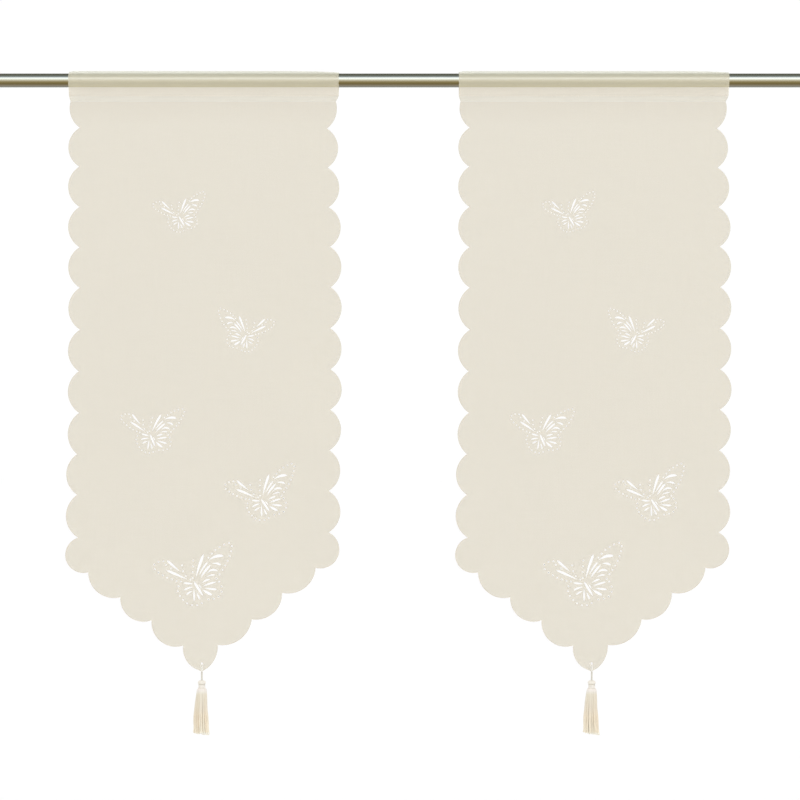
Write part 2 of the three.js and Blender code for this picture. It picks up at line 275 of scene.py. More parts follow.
# Curtain panels: one flat length of heat-set polyester voile each, hot-cut to scallops. The cut-outs are the
# same pattern on both. It is laid out flat first: u is across from the panel's middle line, and v is up the
# cloth, equal to the height while the cloth hangs and running on over the rod and down behind it to the hem.
PANEL_CENTRES = {"left": -325, "right": 325}
POCKET_HALF_WIDTH = 225
STITCH_DROP = 25.8
HEM_DROP = 35.3
CUT_WIDTH = 458.5
HEM_SIDES = {"top_left": -224.5, "top_right": 223.9, "bottom_left": -222.2, "bottom_right": 220.2}
# Left and right edge from the hem down to the point: each cusp's u and v, and how far the lobe over it
# stands out. They were worked out from circles fitted to the edge in the photograph.
LEFT_EDGE = (
    (-206.9, -78.8, 7.4), (-207.7, -143.8, 18.5), (-207.2, -211.0, 18.6), (-207.3, -278.1, 18.7),
    (-206.9, -345.6, 18.8), (-206.4, -415.6, 19.1), (-208.6, -484.9, 18.9), (-208.2, -554.2, 18.3),
    (-211.6, -623.0, 17.1), (-211.6, -691.0, 18.0), (-210.4, -762.2, 19.2), (-193.0, -820.2, 29.5),
    (-139.4, -861.6, 16.6), (-87.1, -900.0, 17.5), (-34.5, -942.2, 18.1), (-15.2, -980.4, 6.7),
)
RIGHT_EDGE = (
    (205.4, -80.2, 7.3), (206.3, -145.3, 18.0), (208.0, -211.3, 18.7), (210.4, -277.0, 18.9),
    (211.3, -344.5, 18.4), (210.6, -412.9, 18.7), (210.9, -481.6, 18.7), (210.5, -548.8, 19.1),
    (209.2, -616.6, 18.8), (208.1, -684.3, 18.7), (208.3, -753.4, 19.4), (186.4, -812.8, 28.4),
    (130.4, -854.3, 16.0), (79.8, -898.6, 15.8), (23.4, -941.0, 15.0), (5.1, -980.4, 5.4),
)
TIP = (-3.4, -985.4)
EDGE_STEP = 3
FEWEST_STEPS = 6
CORD_HOLE = {"u": -3.4, "v": -972.5, "width": 3.1, "apex": 2.3, "sides": 16}


def reached(x, y, turn, reach):
    """The point that lies at this reach from x and y, on this turn."""
    return (x + reach * math.cos(turn), y + reach * math.sin(turn))


def lobe(start, cusp, height, outward):
    """Points of a round lobe of cloth from one cusp to the next, without the first."""
    (x0, y0), (x1, y1) = start, cusp
    chord = math.hypot(x1 - x0, y1 - y0)
    radius = (chord * chord / 4 + height * height) / (2 * height)
    along = ((x1 - x0) / chord, (y1 - y0) / chord)
    normal = (-along[1] * outward, along[0] * outward)
    centre = ((x0 + x1) / 2 + normal[0] * (height - radius), (y0 + y1) / 2 + normal[1] * (height - radius))
    half_turn = math.atan2(chord / 2, radius - height)
    steps = max(FEWEST_STEPS, round(2 * half_turn * radius / EDGE_STEP))
    swings = [half_turn * (2 * (i + 1) / steps - 1) for i in range(steps)]
    return [
        tuple(
            c + radius * (a * math.sin(swing) + n * math.cos(swing)) for c, a, n in zip(centre, along, normal)
        )
        for swing in swings
    ]


def scallops(start, edge, outward):
    """One scalloped edge of the cloth, from the hem to the last cusp before the point."""
    points = [start]
    for u, v, height in edge:
        points += lobe(points[-1], (u, v), height, outward)
    return points


# The cloth's way over the rod, in Y and Z, and how far along the cloth each of its points is. The cloth's
# inner face is held 0.35 mm off the tube. The crease that is pressed along the top stands above the tube.
CLOTH_THICKNESS = 0.4
POCKET_RADIUS = 12.05
CREASE_HEIGHT = 15.6
HEM_GAP = 0.7
POCKET_ARC_STEPS = 12
POCKET_FLAT_STEP = 3.5
HEM_STEPS = 3


def pocket_side(foot, side):
    """In Y and Z, from the foot at the stitches straight up to the tube and round it to where it leaves."""
    foot_y, foot_z = foot
    foot_turn = math.atan2(foot_z, foot_y * side) + math.acos(POCKET_RADIUS / math.hypot(foot_y, foot_z))
    crease_turn = math.pi / 2 - math.acos(POCKET_RADIUS / CREASE_HEIGHT)
    step = (crease_turn - foot_turn) / POCKET_ARC_STEPS
    turns = [foot_turn + step * i for i in range(POCKET_ARC_STEPS + 1)]
    arc = [(side * POCKET_RADIUS * math.cos(turn), POCKET_RADIUS * math.sin(turn)) for turn in turns]
    flat = math.dist(foot, arc[0])
    steps = round(flat / POCKET_FLAT_STEP)
    rise = [tuple(f + (a - f) * i / steps for f, a in zip(foot, arc[0])) for i in range(steps)]
    return rise + arc


def distances(way, start=0):
    """How far along the way each of its points is."""
    return list(accumulate((math.dist(a, b) for a, b in zip(way, way[1:])), initial=start))


front = pocket_side((0, -STITCH_DROP), -1)
back = pocket_side((HEM_GAP, -STITCH_DROP), 1)
hem = [(HEM_GAP, -STITCH_DROP - (HEM_DROP - STITCH_DROP) * i / HEM_STEPS) for i in range(1, HEM_STEPS + 1)]
way = [*front, (0, CREASE_HEIGHT), *back[::-1], *hem]
stations = distances(way, -STITCH_DROP)
hem_v = stations[-1]


def folded(v):
    """Where the cloth is at v, in Y and Z."""
    if v <= stations[0]:
        return (0, v)
    i = min(bisect_right(stations, v), len(stations) - 1)
    share = (v - stations[i - 1]) / (stations[i] - stations[i - 1])
    return tuple(a + (b - a) * share for a, b in zip(way[i - 1], way[i]))


# Butterflies: openwork cut into the flat cloth. Each wing is a fan of slots about its root. A slot starts at
# a distance from the root along a turn, runs on at that turn plus its lean, and bows sideways at its middle.
# The slots and the rows of holes were measured on an enlarged view of the photograph.
BUTTERFLIES = (
    # head end's u and v, wingspan, turn in degrees, side of the near wings
    (-41.6, -226.3, 88.5, -2.7, 1),
    (71.1, -424.0, 94.5, 2.5, -1),
    (-89.6, -589.7, 105.4, -9.8, 1),
    (95.5, -697.6, 119.5, 1.3, 1),
    (-16.4, -835.3, 133.7, 0, 1),
)
MOTIF_SPAN = 134
WINGS = (
    # root, then for each slot: turn, start, lean, length, width, bow, and how far along it is widest
    ((0, 0), (  # body
        (-58, 0, 0, 28, 4.0, 0, 0.4), (-30, 8.5, -24, 9, 1.8, 0, 0.5),
    )),
    ((2, 1), (  # near forewing
        (77, 5, -5, 42, 4.4, 0.8, 0.75), (57, 11.5, -1, 27, 2.8, 0.8, 0.7),
        (27, 10, 26, 28.5, 3.7, 1.0, 0.65), (57, 41.5, -41, 26, 4.8, 2.6, 0.7),
        (46, 40, -54, 15.5, 3.4, 1.6, 0.75), (31, 23, -17, 19, 3.5, 4.2, 0.65),
        (19, 19.5, -5, 15.5, 2.3, 1.2, 0.75),
    )),
    ((9, -7), (  # near hindwing
        (48, 6.5, -23, 15, 2.9, 0.8, 0.6), (-7, 6, 25, 23, 3.0, 0.6, 0.55),
        (-23, 9.5, 16, 21, 3.4, -0.3, 0.7), (-50, 8, 19, 19, 4.4, -0.4, 0.62),
    )),
    ((-4, 0), (  # far forewing
        (154, 7.5, 2, 39, 4.0, -0.3, 0.72), (139, 26, 0, 28.5, 3.9, 0.3, 0.72),
    )),
    ((2, -4), (  # far hindwing
        (177, 3.5, -3, 16.5, 3.2, 0.2, 0.55), (236, 6, -36, 17, 2.9, -1.1, 0.6),
        (250, 12.5, -39, 12.5, 2.8, -0.7, 0.6), (255, 7.5, 16, 21.5, 2.8, 0, 0.65),
        (279, 14, 16, 13.5, 2.8, 0, 0.65),
    )),
)
SLOT_STEPS = 9
# Rows of small round holes run along the wings' edges and the feelers. Each row is a smooth line through a
# few points.
HOLE_DIAMETER = 2.8
HOLE_PITCH = 8.1
HOLE_SIDES = 10
HOLE_ROWS = (
    ((-2, 6), (-2, 20), (-1, 35)),
    ((-6, 3), (-16, 12), (-20, 27)),
    ((24, 40), (40, 56), (62, 64), (58, 38), (38, 5)),
    ((42, 0), (47, -13), (40, -26), (24, -30)),
    ((13, -36), (2, -40), (-12, -36), (-24, -23), (-27, -12), (-22, 0)),
    ((-29, 1), (-46, 7), (-63, 18), (-67, 27), (-59, 33), (-51, 34)),
    ((-47, 28), (-38, 22)),
)


def slot_outline(root, slot):
    """Points round one slot: from its foot up one side to its far end, and back down the other side."""
    degrees, start, lean, length, width, bow, widest = slot
    foot = reached(*root, math.radians(degrees), start)
    turn = math.radians(degrees + lean)

    def side(sign):
        """Points along one side of the slot, without its two ends."""
        for i in range(1, SLOT_STEPS):
            share = i / SLOT_STEPS
            if share < widest:
                reach = math.sin(math.pi / 2 * share / widest) ** (0.5 if widest < 0.5 else 1)
            else:
                reach = math.sqrt(1 - ((share - widest) / (1 - widest)) ** 2)
            middle = reached(*foot, turn, length * share)
            aside = sign * reach * width / 2 + bow * 4 * share * (1 - share)
            yield reached(*middle, turn + math.pi / 2, aside)

    return [foot, *side(-1), reached(*foot, turn, length), *reversed(list(side(1)))]


def add_group(name, sizes):
    """A Geometry Nodes tree with a geometry input and output, and a named input for each size."""
    tree = bpy.data.node_groups.new(name, "GeometryNodeTree")
    tree.interface.new_socket("Geometry", in_out="INPUT", socket_type="NodeSocketGeometry")
    for size, kind in sizes.items():
        tree.interface.new_socket(size, in_out="INPUT", socket_type=kind)
    tree.interface.new_socket("Geometry", in_out="OUTPUT", socket_type="NodeSocketGeometry")
    return tree, tree.nodes.new("NodeGroupInput").outputs


def in_steps(tree, edges, step, smoothness=0):
    """Strings of edges as curves, smooth ones if asked for, with a point at every step."""
    lines = add_node(tree, "GeometryNodeMeshToCurve", {0: edges})
    if smoothness:
        lines = add_node(tree, "GeometryNodeCurveSplineType", {0: lines}, spline_type="CATMULL_ROM")
        lines = add_node(tree, "GeometryNodeSetSplineResolution", {0: lines, "Resolution": smoothness})
    return add_node(tree, "GeometryNodeResampleCurve", {"Curve": lines, "Length": step}, mode="LENGTH")


def end_group(tree, pieces, material):
    """Ends the tree: its pieces become plain mesh and get their material."""
    pieces = add_node(tree, "GeometryNodeRealizeInstances", {0: pieces})
    pieces = add_node(tree, "GeometryNodeSetMaterial", {0: pieces, "Material": material})
    add_node(tree, "NodeGroupOutput", {0: pieces})


def set_firm(piece):
    """Makes the piece's mesh what its modifiers show, and removes them."""
    graph = bpy.context.evaluated_depsgraph_get()
    shown = piece.evaluated_get(graph)
    mesh = bpy.data.meshes.new_from_object(shown, preserve_all_data_layers=True, depsgraph=graph)
    piece.modifiers.clear()
    piece.data = mesh


def run_tree(piece, tree, sizes):
    """Runs the tree on the piece's mesh with these sizes, and puts the plain result in its place."""
    run = piece.modifiers.new(tree.name, "NODES")
    run.node_group = tree
    sockets = {s.name: s.identifier for s in tree.interface.items_tree if s.in_out == "INPUT"}
    for name, value in sizes.items():
        run[sockets[name]] = value
    set_firm(piece)


punch, sizes = add_group("punched rows", {
    "Pitch": "NodeSocketFloat", "Diameter": "NodeSocketFloat", "Sides": "NodeSocketInt",
    "Material": "NodeSocketMaterial",
})
lines = in_steps(punch, sizes["Geometry"], sizes["Pitch"], smoothness=16)
radius = add_node(punch, "ShaderNodeMath", {0: sizes["Diameter"], 1: 0.5}, operation="MULTIPLY")
ring = add_node(punch, "GeometryNodeMeshCircle", {"Vertices": sizes["Sides"], "Radius": radius})
holes = add_node(punch, "GeometryNodeInstanceOnPoints", {"Points": lines, "Instance": ring})
end_group(punch, holes, sizes["Material"])


def polylines(name, rows, scale=1.0):
    """A mesh of loose edges, one string of them for each row of points."""
    points, edges = [], []
    for row in rows:
        edges += [(len(points) + i, len(points) + i + 1) for i in range(len(row) - 1)]
        points += [Vector((*point, 0)[:3]) * scale for point in row]
    return mesh_from(name, points, edges=edges)


rows = add_object("hole rows", polylines("hole rows", HOLE_ROWS))
run_tree(rows, punch, {"Pitch": HOLE_PITCH, "Diameter": HOLE_DIAMETER, "Sides": HOLE_SIDES})
rings = [tuple(vertex.co[:2]) for vertex in rows.data.vertices]
round_holes = [rings[i : i + HOLE_SIDES] for i in range(0, len(rings), HOLE_SIDES)]
bpy.data.objects.remove(rows)

# The hole for the cord is round below, where the cord bears on it, and drawn out above.
cord_hole = []
for i in range(CORD_HOLE["sides"]):
    turn = 2 * math.pi * i / CORD_HOLE["sides"]
    rise = CORD_HOLE["apex"] if 0 < turn < math.pi else CORD_HOLE["width"] / 2
    cord_hole.append((
        CORD_HOLE["u"] + CORD_HOLE["width"] / 2 * math.cos(turn), CORD_HOLE["v"] + rise * math.sin(turn),
    ))

motif = round_holes + [slot_outline(root, slot) for root, slots in WINGS for slot in slots]
cutouts = [cord_hole]
for u, v, span, degrees, near in BUTTERFLIES:
    size, turn = span / MOTIF_SPAN, math.radians(degrees)
    for shape in motif:
        cutouts.append([
            (
                u + size * (near * x * math.cos(turn) - y * math.sin(turn)),
                v + size * (near * x * math.sin(turn) + y * math.cos(turn)),
            )
            for x, y in shape
        ])

# The cut cloth is meshed flat, between its outline, its cut-outs and a grid, and then folded over the rod.
GRID = 7
GRID_CLEARANCE = 2.2
MERGE_REACH = 1e-5
sides_down = {
    side: [(HEM_SIDES[f"top_{side}"], -STITCH_DROP), (HEM_SIDES[f"bottom_{side}"], -HEM_DROP)]
    for side in ("left", "right")
}
rows_up = stations[1:-HEM_STEPS]
outline = [
    *[(-POCKET_HALF_WIDTH, v) for v in reversed(rows_up)],
    sides_down["left"][0],
    *scallops(sides_down["left"][1], LEFT_EDGE, -1),
    TIP,
    *reversed(scallops(sides_down["right"][1], RIGHT_EDGE, 1)),
    sides_down["right"][0],
    *[(POCKET_HALF_WIDTH, v) for v in rows_up],
    (HEM_SIDES["bottom_right"], hem_v),
    (HEM_SIDES["bottom_left"], hem_v),
]
loops = [outline, *cutouts]
borders = [p for loop in loops for p in loop]
cells = {}
for x, y in borders:
    cells.setdefault((math.floor(x / GRID), math.floor(y / GRID)), []).append((x, y))


def inside(point, loop):
    """True if the point is in the closed loop."""
    x, y = point
    within = False
    for (x0, y0), (x1, y1) in zip(loop, loop[1:] + loop[:1]):
        if (y0 > y) != (y1 > y) and x < x0 + (y - y0) / (y1 - y0) * (x1 - x0):
            within = not within
    return within


def crowded(x, y):
    """True if the point is too near a border point for an even mesh."""
    i, j = math.floor(x / GRID), math.floor(y / GRID)
    near = (p for a in (i - 1, i, i + 1) for b in (j - 1, j, j + 1) for p in cells.get((a, b), ()))
    return any(math.dist(p, (x, y)) < GRID_CLEARANCE for p in near)


half_columns = math.ceil(CUT_WIDTH / 2 / GRID)
columns = [GRID * i for i in range(-half_columns, half_columns + 1)]
heights = [-HEM_DROP, -STITCH_DROP, *rows_up, *stations[-HEM_STEPS:-1]]
heights += [-HEM_DROP - GRID * (j + 0.5) for j in range(int((HEM_DROP - TIP[1]) / GRID))]
heights.append((-STITCH_DROP - HEM_DROP) / 2)
grid = [(x, y) for y in heights for x in columns if not crowded(x, y) and inside((x, y), outline)]

edges, count = [], 0
for loop in loops:
    edges += [(count + i, count + (i + 1) % len(loop)) for i in range(len(loop))]
    count += len(loop)
points, _, faces, _, _, _ = delaunay_2d_cdt(
    [Vector(p) for p in borders + grid], edges, [], 0, MERGE_REACH
)
boxes = [
    (min(x for x, _ in loop), max(x for x, _ in loop), min(y for _, y in loop), max(y for _, y in loop), loop)
    for loop in cutouts
]


def on_cloth(face):
    """True if the face is cloth, and not in a cut-out or past the outline."""
    x = sum(points[i].x for i in face) / 3
    y = sum(points[i].y for i in face) / 3
    if not inside((x, y), outline):
        return False
    return not any(x0 < x < x1 and y0 < y < y1 and inside((x, y), loop) for x0, x1, y0, y1, loop in boxes)


faces = [face for face in faces if on_cloth(face)]
flat_area = sum(
    abs((points[b] - points[a]).cross(points[c] - points[a])) / 2 for a, b, c in faces
) * MM * MM

# The crease stands a little lower towards the ends, most at the right. The hanging cloth sways a millimetre
# or two out of flat, and the lobes curl slightly to the front, where the hot cut has drawn them in.
CREASE_FROM = POCKET_RADIUS * 0.8
CREASE_DIPS = ((-225, 1.3), (-217, 0.2), (-200, 0), (150, 0), (190, 0.6), (215, 1.7), (225, 2.4))
SWAY = (
    # how far, millimetres across and down for each radian of the wave, and where it starts
    (1.5, 95, 410, 0.6), (0.9, 57, -230, 2.1), (0.5, 140, 88, 4.0),
)
FREE_TO_SWAY = ((-971, 0), (-930, 0.35), (-820, 1), (-220, 1), (-36, 0.12), (-20, 0))
CURL = {"most": 1.4, "from": 198, "over": 28, "wave": 47}


def between(table, x):
    """The second column of a table at x of its first."""
    for (x0, y0), (x1, y1) in zip(table, table[1:]):
        if x <= x1:
            return y0 + (y1 - y0) * max(0, (x - x0) / (x1 - x0))
    return table[-1][1]


def hung(u, v):
    """Where the point of flat cloth at u and v hangs, in millimetres."""
    y, z = folded(v)
    if z > CREASE_FROM:
        share = (z - CREASE_FROM) / (CREASE_HEIGHT - CREASE_FROM)
        z -= between(CREASE_DIPS, u) * share ** 2
    free = between(FREE_TO_SWAY, z)
    if free:
        sway = sum(size * math.sin(u / across + z / down + phase) for size, across, down, phase in SWAY)
        lobe_share = max(0, (abs(u) - CURL["from"]) / CURL["over"])
        curl = CURL["most"] * lobe_share ** 2 * (0.6 + 0.4 * math.sin(z / CURL["wave"]))
        y += free * (sway - curl)
    return (u, y, z)


cloth = mesh_from("cloth", [Vector(hung(*point)) * MM for point in points], faces)
cloth_map = cloth.uv_layers.new(name="UVMap")
for corner in cloth.loops:
    u, v = points[corner.vertex_index]
    cloth_map.data[corner.index].uv = (u * MM, v * MM)

# Voile: a plain weave of fine polyester threads, 0.3 mm apart and drawn 0.7 mm apart to show, set by heat so
# that it hangs flat. Three tenths of the light passes through its pores, a little over half at each face of
# the sheet. The rest is scattered, warm white and matt, with faint streaks where a thread runs thicker. Its
# tints over the pocket and the hem were matched to the photograph's rows, and hold some of its shading:
# painted light over the tube, in the pocket below it, in the hem and along the crease, and painted shade in a
# band just under the hem.
VOILE_TINTS_AND_SHADING = (
    # height, colour
    (-75, "D9D1BD"), (-36, "D4CBB6"), (-35.2, "EAE6DA"), (-26.2, "EDE9DD"), (-25.4, "F1EADC"),
    (-23.8, "F1EADC"), (-22.8, "F4EEE0"), (-12.2, "F4EDDD"), (-11.4, "DED5B3"), (-8.6, "E6DFC4"),
    (-6, "E2DDC6"), (1, "DED7C2"), (4, "E0D8BE"), (6, "DFD9C1"), (8.5, "DDDAC5"), (11, "DCD9C5"),
    (11.8, "F3F2E4"),
)
VOILE_CLEAR_FACE = 0.55
THREAD_PITCH = 0.0007


def colour_by_height(tree, tints, column=1):
    """The colour that a table of tints has at each height, from one of its columns."""
    low, high = tints[0][0], tints[-1][0]
    place = add_node(tree, "ShaderNodeTexCoord").outputs["Object"]
    height = add_node(tree, "ShaderNodeSeparateXYZ", {0: place}).outputs["Z"]
    share = add_node(tree, "ShaderNodeMapRange", {
        "Value": height, "From Min": low * MM, "From Max": high * MM,
    })
    return add_node(tree, "ShaderNodeValToRGB", {"Fac": share}, stops=[
        ((row[0] - low) / (high - low), row[column]) for row in tints
    ])


voile, tree = new_material("cream polyester voile")
place = add_node(tree, "ShaderNodeUVMap", uv_map="UVMap").outputs[0]
parts = add_node(tree, "ShaderNodeSeparateXYZ", {0: place})
threads = []
for axis in ("X", "Y"):
    phase = add_node(tree, "ShaderNodeMath", {
        0: parts.outputs[axis], 1: 2 * math.pi / THREAD_PITCH,
    }, operation="MULTIPLY")
    threads.append(add_node(tree, "ShaderNodeMath", {0: phase}, operation="SINE"))
crossing = add_node(tree, "ShaderNodeMath", {0: threads[0], 1: threads[1]}, operation="MULTIPLY")
streaks = []
for scale in ((900, 14, 1), (14, 900, 1)):
    laid = add_node(tree, "ShaderNodeMapping", {"Vector": place, "Scale": scale})
    streak = add_node(tree, "ShaderNodeTexNoise", {"Vector": laid, "Scale": 1, "Detail": 2})
    streaks.append(streak.outputs["Fac"])
streak = add_node(tree, "ShaderNodeMath", {0: streaks[0], 1: streaks[1]}, operation="ADD")
cloud = add_node(tree, "ShaderNodeTexNoise", {"Vector": place, "Scale": 5, "Detail": 2}).outputs["Fac"]
tone = add_node(tree, "ShaderNodeMath", {0: streak, 1: 0.05, 2: 0.95}, operation="MULTIPLY_ADD")
tone = add_node(tree, "ShaderNodeMath", {0: cloud, 1: 0.03, 2: tone}, operation="MULTIPLY_ADD")
tone = add_node(tree, "ShaderNodeMath", {0: crossing, 1: 0.08, 2: tone}, operation="MULTIPLY_ADD")
colour = colour_by_height(tree, VOILE_TINTS_AND_SHADING)
colour = add_node(tree, "ShaderNodeVectorMath", {0: colour, 1: tone}, operation="MULTIPLY")
height = add_node(tree, "ShaderNodeBump", {"Height": crossing, "Strength": 0.5, "Distance": 0.0001})
shader = add_node(tree, "ShaderNodeBsdfPrincipled", {
    "Base Color": colour, "Roughness": 0.8, "Specular IOR Level": 0.2, "Sheen Weight": 0.1,
    "Sheen Roughness": 0.5, "Alpha": 1 - VOILE_CLEAR_FACE, "Normal": height,
})
add_node(tree, "ShaderNodeOutputMaterial", {"Surface": shader})


def flecked_polyester(name, scale, dark, light, relief, surface):
    """Polyester in fine flecks between two shades, the lighter ones a little raised."""
    material, tree = new_material(name)
    place = add_node(tree, "ShaderNodeTexCoord").outputs["Object"]
    flecks = add_node(tree, "ShaderNodeTexNoise", {"Vector": place, "Scale": scale, "Detail": 2})
    flecks = flecks.outputs["Fac"]
    colour = add_node(tree, "ShaderNodeMix", {
        "Factor": flecks, 6: linear(dark), 7: linear(light),
    }, data_type="RGBA")
    height = add_node(tree, "ShaderNodeBump", {"Height": flecks, "Strength": relief, "Distance": 0.0001})
    shader = add_node(tree, "ShaderNodeBsdfPrincipled", {
        "Base Color": colour.outputs[2], "Normal": height, **surface,
    })
    add_node(tree, "ShaderNodeOutputMaterial", {"Surface": shader})
    return material


# Hot-cut edge: the blade melts the threads' ends together into a rim 0.4 mm wide, denser and glossier, with
# beads of about a millimetre.
sealed = flecked_polyester("hot-cut voile edge", 900, "DED4BF", "F0E8D8", 0.3, {
    "Roughness": 0.5, "Specular IOR Level": 0.2, "Alpha": 0.8,
})

# Stitches: one row of lockstitch closes the pocket. Spun thread, 0.4 mm thick, shows as a dash on the front
# and on the back at every 2.8 mm, each a little uneven.
STITCH_PITCH = 2.8
STITCH_LENGTH = 2.2
STITCH_INSET = 2
THREAD_THICKNESS = 0.42

# Spun thread is matt and a little hairy, with flecks of a quarter of a millimetre.
thread = flecked_polyester("spun polyester sewing thread", 4000, "D9CFB9", "EEE6D5", 0.4, {
    "Roughness": 0.6, "Sheen Weight": 0.2,
})

sewing, sizes = add_group("lockstitch row", {
    "Pitch": "NodeSocketFloat", "Length": "NodeSocketFloat", "Thickness": "NodeSocketFloat",
    "Seed": "NodeSocketInt", "Material": "NodeSocketMaterial",
})
lines = in_steps(sewing, sizes["Geometry"], sizes["Pitch"])
dash = add_node(sewing, "GeometryNodeMeshUVSphere", {"Segments": 8, "Rings": 5, "Radius": 0.5})
dash = add_node(sewing, "GeometryNodeSetShadeSmooth", {0: dash})
tilt = add_node(sewing, "FunctionNodeRandomValue", {
    0: (-0.05, -0.05, -0.05), 1: (0.05, 0.05, 0.05), "Seed": sizes["Seed"],
}, data_type="FLOAT_VECTOR")
pull = add_node(sewing, "FunctionNodeRandomValue", {2: 0.88, 3: 1.06, "Seed": sizes["Seed"]})
long = add_node(sewing, "ShaderNodeMath", {0: sizes["Length"], 1: pull.outputs[1]}, operation="MULTIPLY")
size = add_node(sewing, "ShaderNodeCombineXYZ", {0: long, 1: sizes["Thickness"], 2: sizes["Thickness"]})
row = add_node(sewing, "GeometryNodeInstanceOnPoints", {
    "Points": lines, "Instance": dash, "Rotation": tilt.outputs[0], "Scale": size,
})
end_group(sewing, row, sizes["Material"])

for number, (side, centre) in enumerate(PANEL_CENTRES.items()):
    panel = add_object(f"voile_panel_{side}", cloth.copy(), voile, sealed)
    panel.data.transform(Matrix.Translation((centre * MM, 0, 0)))
    sheet = panel.modifiers.new("sheet", "SOLIDIFY")
    sheet.thickness, sheet.offset, sheet.material_offset_rim = CLOTH_THICKNESS * MM, 0, 1
    set_firm(panel)
    panel.data.shade_smooth()
    panel.data.set_sharp_from_angle(angle=math.radians(40))
    panel.visible_glossy = False

    ends = HEM_SIDES["top_left"] + STITCH_INSET, HEM_SIDES["top_right"] - STITCH_INSET
    faces_y = -CLOTH_THICKNESS / 2, HEM_GAP + CLOTH_THICKNESS / 2
    rows = [[(centre + end, y, -STITCH_DROP) for end in ends] for y in faces_y]
    stitches = add_object(f"hem_stitches_{side}", polylines("stitches", rows, MM))
    run_tree(stitches, sewing, {
        "Pitch": STITCH_PITCH * MM, "Length": STITCH_LENGTH * MM, "Thickness": THREAD_THICKNESS * MM,
        "Seed": 11 + number, "Material": thread,
    })
    for piece in (panel, stitches):
        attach(piece, "root")
    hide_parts(f"panel_{side}")


# Tassel cords: fine rayon cord laid from two plies, doubled, goes through the small hole at the panel's
# point. Two strands come down in front of the cloth and two behind it, and all four go into the tassel's
# head. They splay where they turn over the hole's lower edge.
TASSEL_U = -3.4
STRAND_DIAMETER = 1.55
STRAND_LAY = 3.2
CORD_STEP = 0.3
# The second strand mirrors the first and lies a little nearer the middle.
STRAND_HANDS = (1, -0.94)
STRAND_WAY = (
    # across from the middle, out from the cloth towards the room, height
    (0.80, 0.80, -1001.8), (0.80, 0.80, -996), (0.80, 0.86, -990), (0.82, 1.04, -986.5),
    (0.86, 1.08, -983), (1.00, 1.08, -979.5), (1.20, 1.10, -976.8), (1.20, 1.08, -975.4),
    (1.05, 0.60, -974.1), (0.90, 0.00, -973.8), (0.88, -0.60, -974.1), (0.95, -1.08, -975.4),
    (1.05, -1.10, -978), (0.90, -1.08, -982), (0.82, -1.04, -986.5), (0.80, -0.86, -990),
    (0.80, -0.80, -996), (0.80, -0.80, -1001.8),
)

# The strands' tints were matched to the photograph's, and hold painted light and shade: lighter where they
# lie on the cloth, and darker just under the cloth's point.
CORD_TINTS_AND_SHADING = (
    # height, darkest fibre, lightest fibre
    (-1010, "D1CDC1", "E6E2D7"), (-991, "D1CDC1", "E6E2D7"), (-986, "CAC6BA", "DFDBD0"),
    (-984.2, "EFECE2", "FBF9F3"), (-960, "EFECE2", "FBF9F3"),
)

laying, sizes = add_group("laid cord", {
    "Diameter": "NodeSocketFloat", "Lay": "NodeSocketFloat", "Plies": "NodeSocketInt",
    "Step": "NodeSocketFloat", "Material": "NodeSocketMaterial",
})
line = in_steps(laying, sizes["Geometry"], sizes["Step"], smoothness=8)
line = add_node(laying, "GeometryNodeSetCurveNormal", {0: line}, mode="MINIMUM_TWIST")
gone = add_node(laying, "GeometryNodeSplineParameter").outputs["Length"]
turns = add_node(laying, "ShaderNodeMath", {0: gone, 1: sizes["Lay"]}, operation="DIVIDE")
turns = add_node(laying, "ShaderNodeMath", {0: turns, 1: -2 * math.pi}, operation="MULTIPLY")
line = add_node(laying, "GeometryNodeSetCurveTilt", {0: line, "Tilt": turns})
section = add_node(laying, "GeometryNodeCurvePrimitiveCircle", {"Resolution": 16, "Radius": 0.5})
about = add_node(laying, "GeometryNodeSplineParameter").outputs["Factor"]
lobes = add_node(laying, "ShaderNodeMath", {0: sizes["Plies"], 1: math.pi}, operation="MULTIPLY")
lobes = add_node(laying, "ShaderNodeMath", {0: about, 1: lobes}, operation="MULTIPLY")
lobes = add_node(laying, "ShaderNodeMath", {0: lobes}, operation="COSINE")
lobes = add_node(laying, "ShaderNodeMath", {0: lobes}, operation="ABSOLUTE")
lobes = add_node(laying, "ShaderNodeMath", {0: lobes, 1: 0.32, 2: 0.68}, operation="MULTIPLY_ADD")
lobes = add_node(laying, "ShaderNodeMath", {0: lobes, 1: sizes["Diameter"]}, operation="MULTIPLY")
spot = add_node(laying, "GeometryNodeInputPosition")
spot = add_node(laying, "ShaderNodeVectorMath", {0: spot, "Scale": lobes}, operation="SCALE")
section = add_node(laying, "GeometryNodeSetPosition", {0: section, "Position": spot})
plies = add_node(laying, "GeometryNodeCurveToMesh", {
    "Curve": line, "Profile Curve": section, "Fill Caps": True,
})
plies = add_node(laying, "GeometryNodeSetShadeSmooth", {0: plies})
end_group(laying, plies, sizes["Material"])


def tinted(tree, tints, share):
    """A colour between the darkest and the lightest one of its height, by the share that feeds it."""
    dark, light = (colour_by_height(tree, tints, column) for column in (1, 2))
    return add_node(tree, "ShaderNodeMix", {"Factor": share, 6: dark, 7: light}, data_type="RGBA").outputs[2]


def laid_rayon(name, tints):
    """Rayon laid from two smooth plies: a low silky shine, and fibres that run along it."""
    material, tree = new_material(name)
    place = add_node(tree, "ShaderNodeTexCoord").outputs["Object"]
    along = add_node(tree, "ShaderNodeMapping", {"Vector": place, "Scale": (5000, 5000, 700)})
    fibres = add_node(tree, "ShaderNodeTexNoise", {"Vector": along, "Scale": 1, "Detail": 2}).outputs["Fac"]
    height = add_node(tree, "ShaderNodeBump", {"Height": fibres, "Strength": 0.5, "Distance": 0.00008})
    shader = add_node(tree, "ShaderNodeBsdfPrincipled", {
        "Base Color": tinted(tree, tints, fibres), "Roughness": 0.42, "Sheen Weight": 0.08, "Normal": height,
    })
    add_node(tree, "ShaderNodeOutputMaterial", {"Surface": shader})
    return material


cord_rayon = laid_rayon("two-ply rayon cord", CORD_TINTS_AND_SHADING)

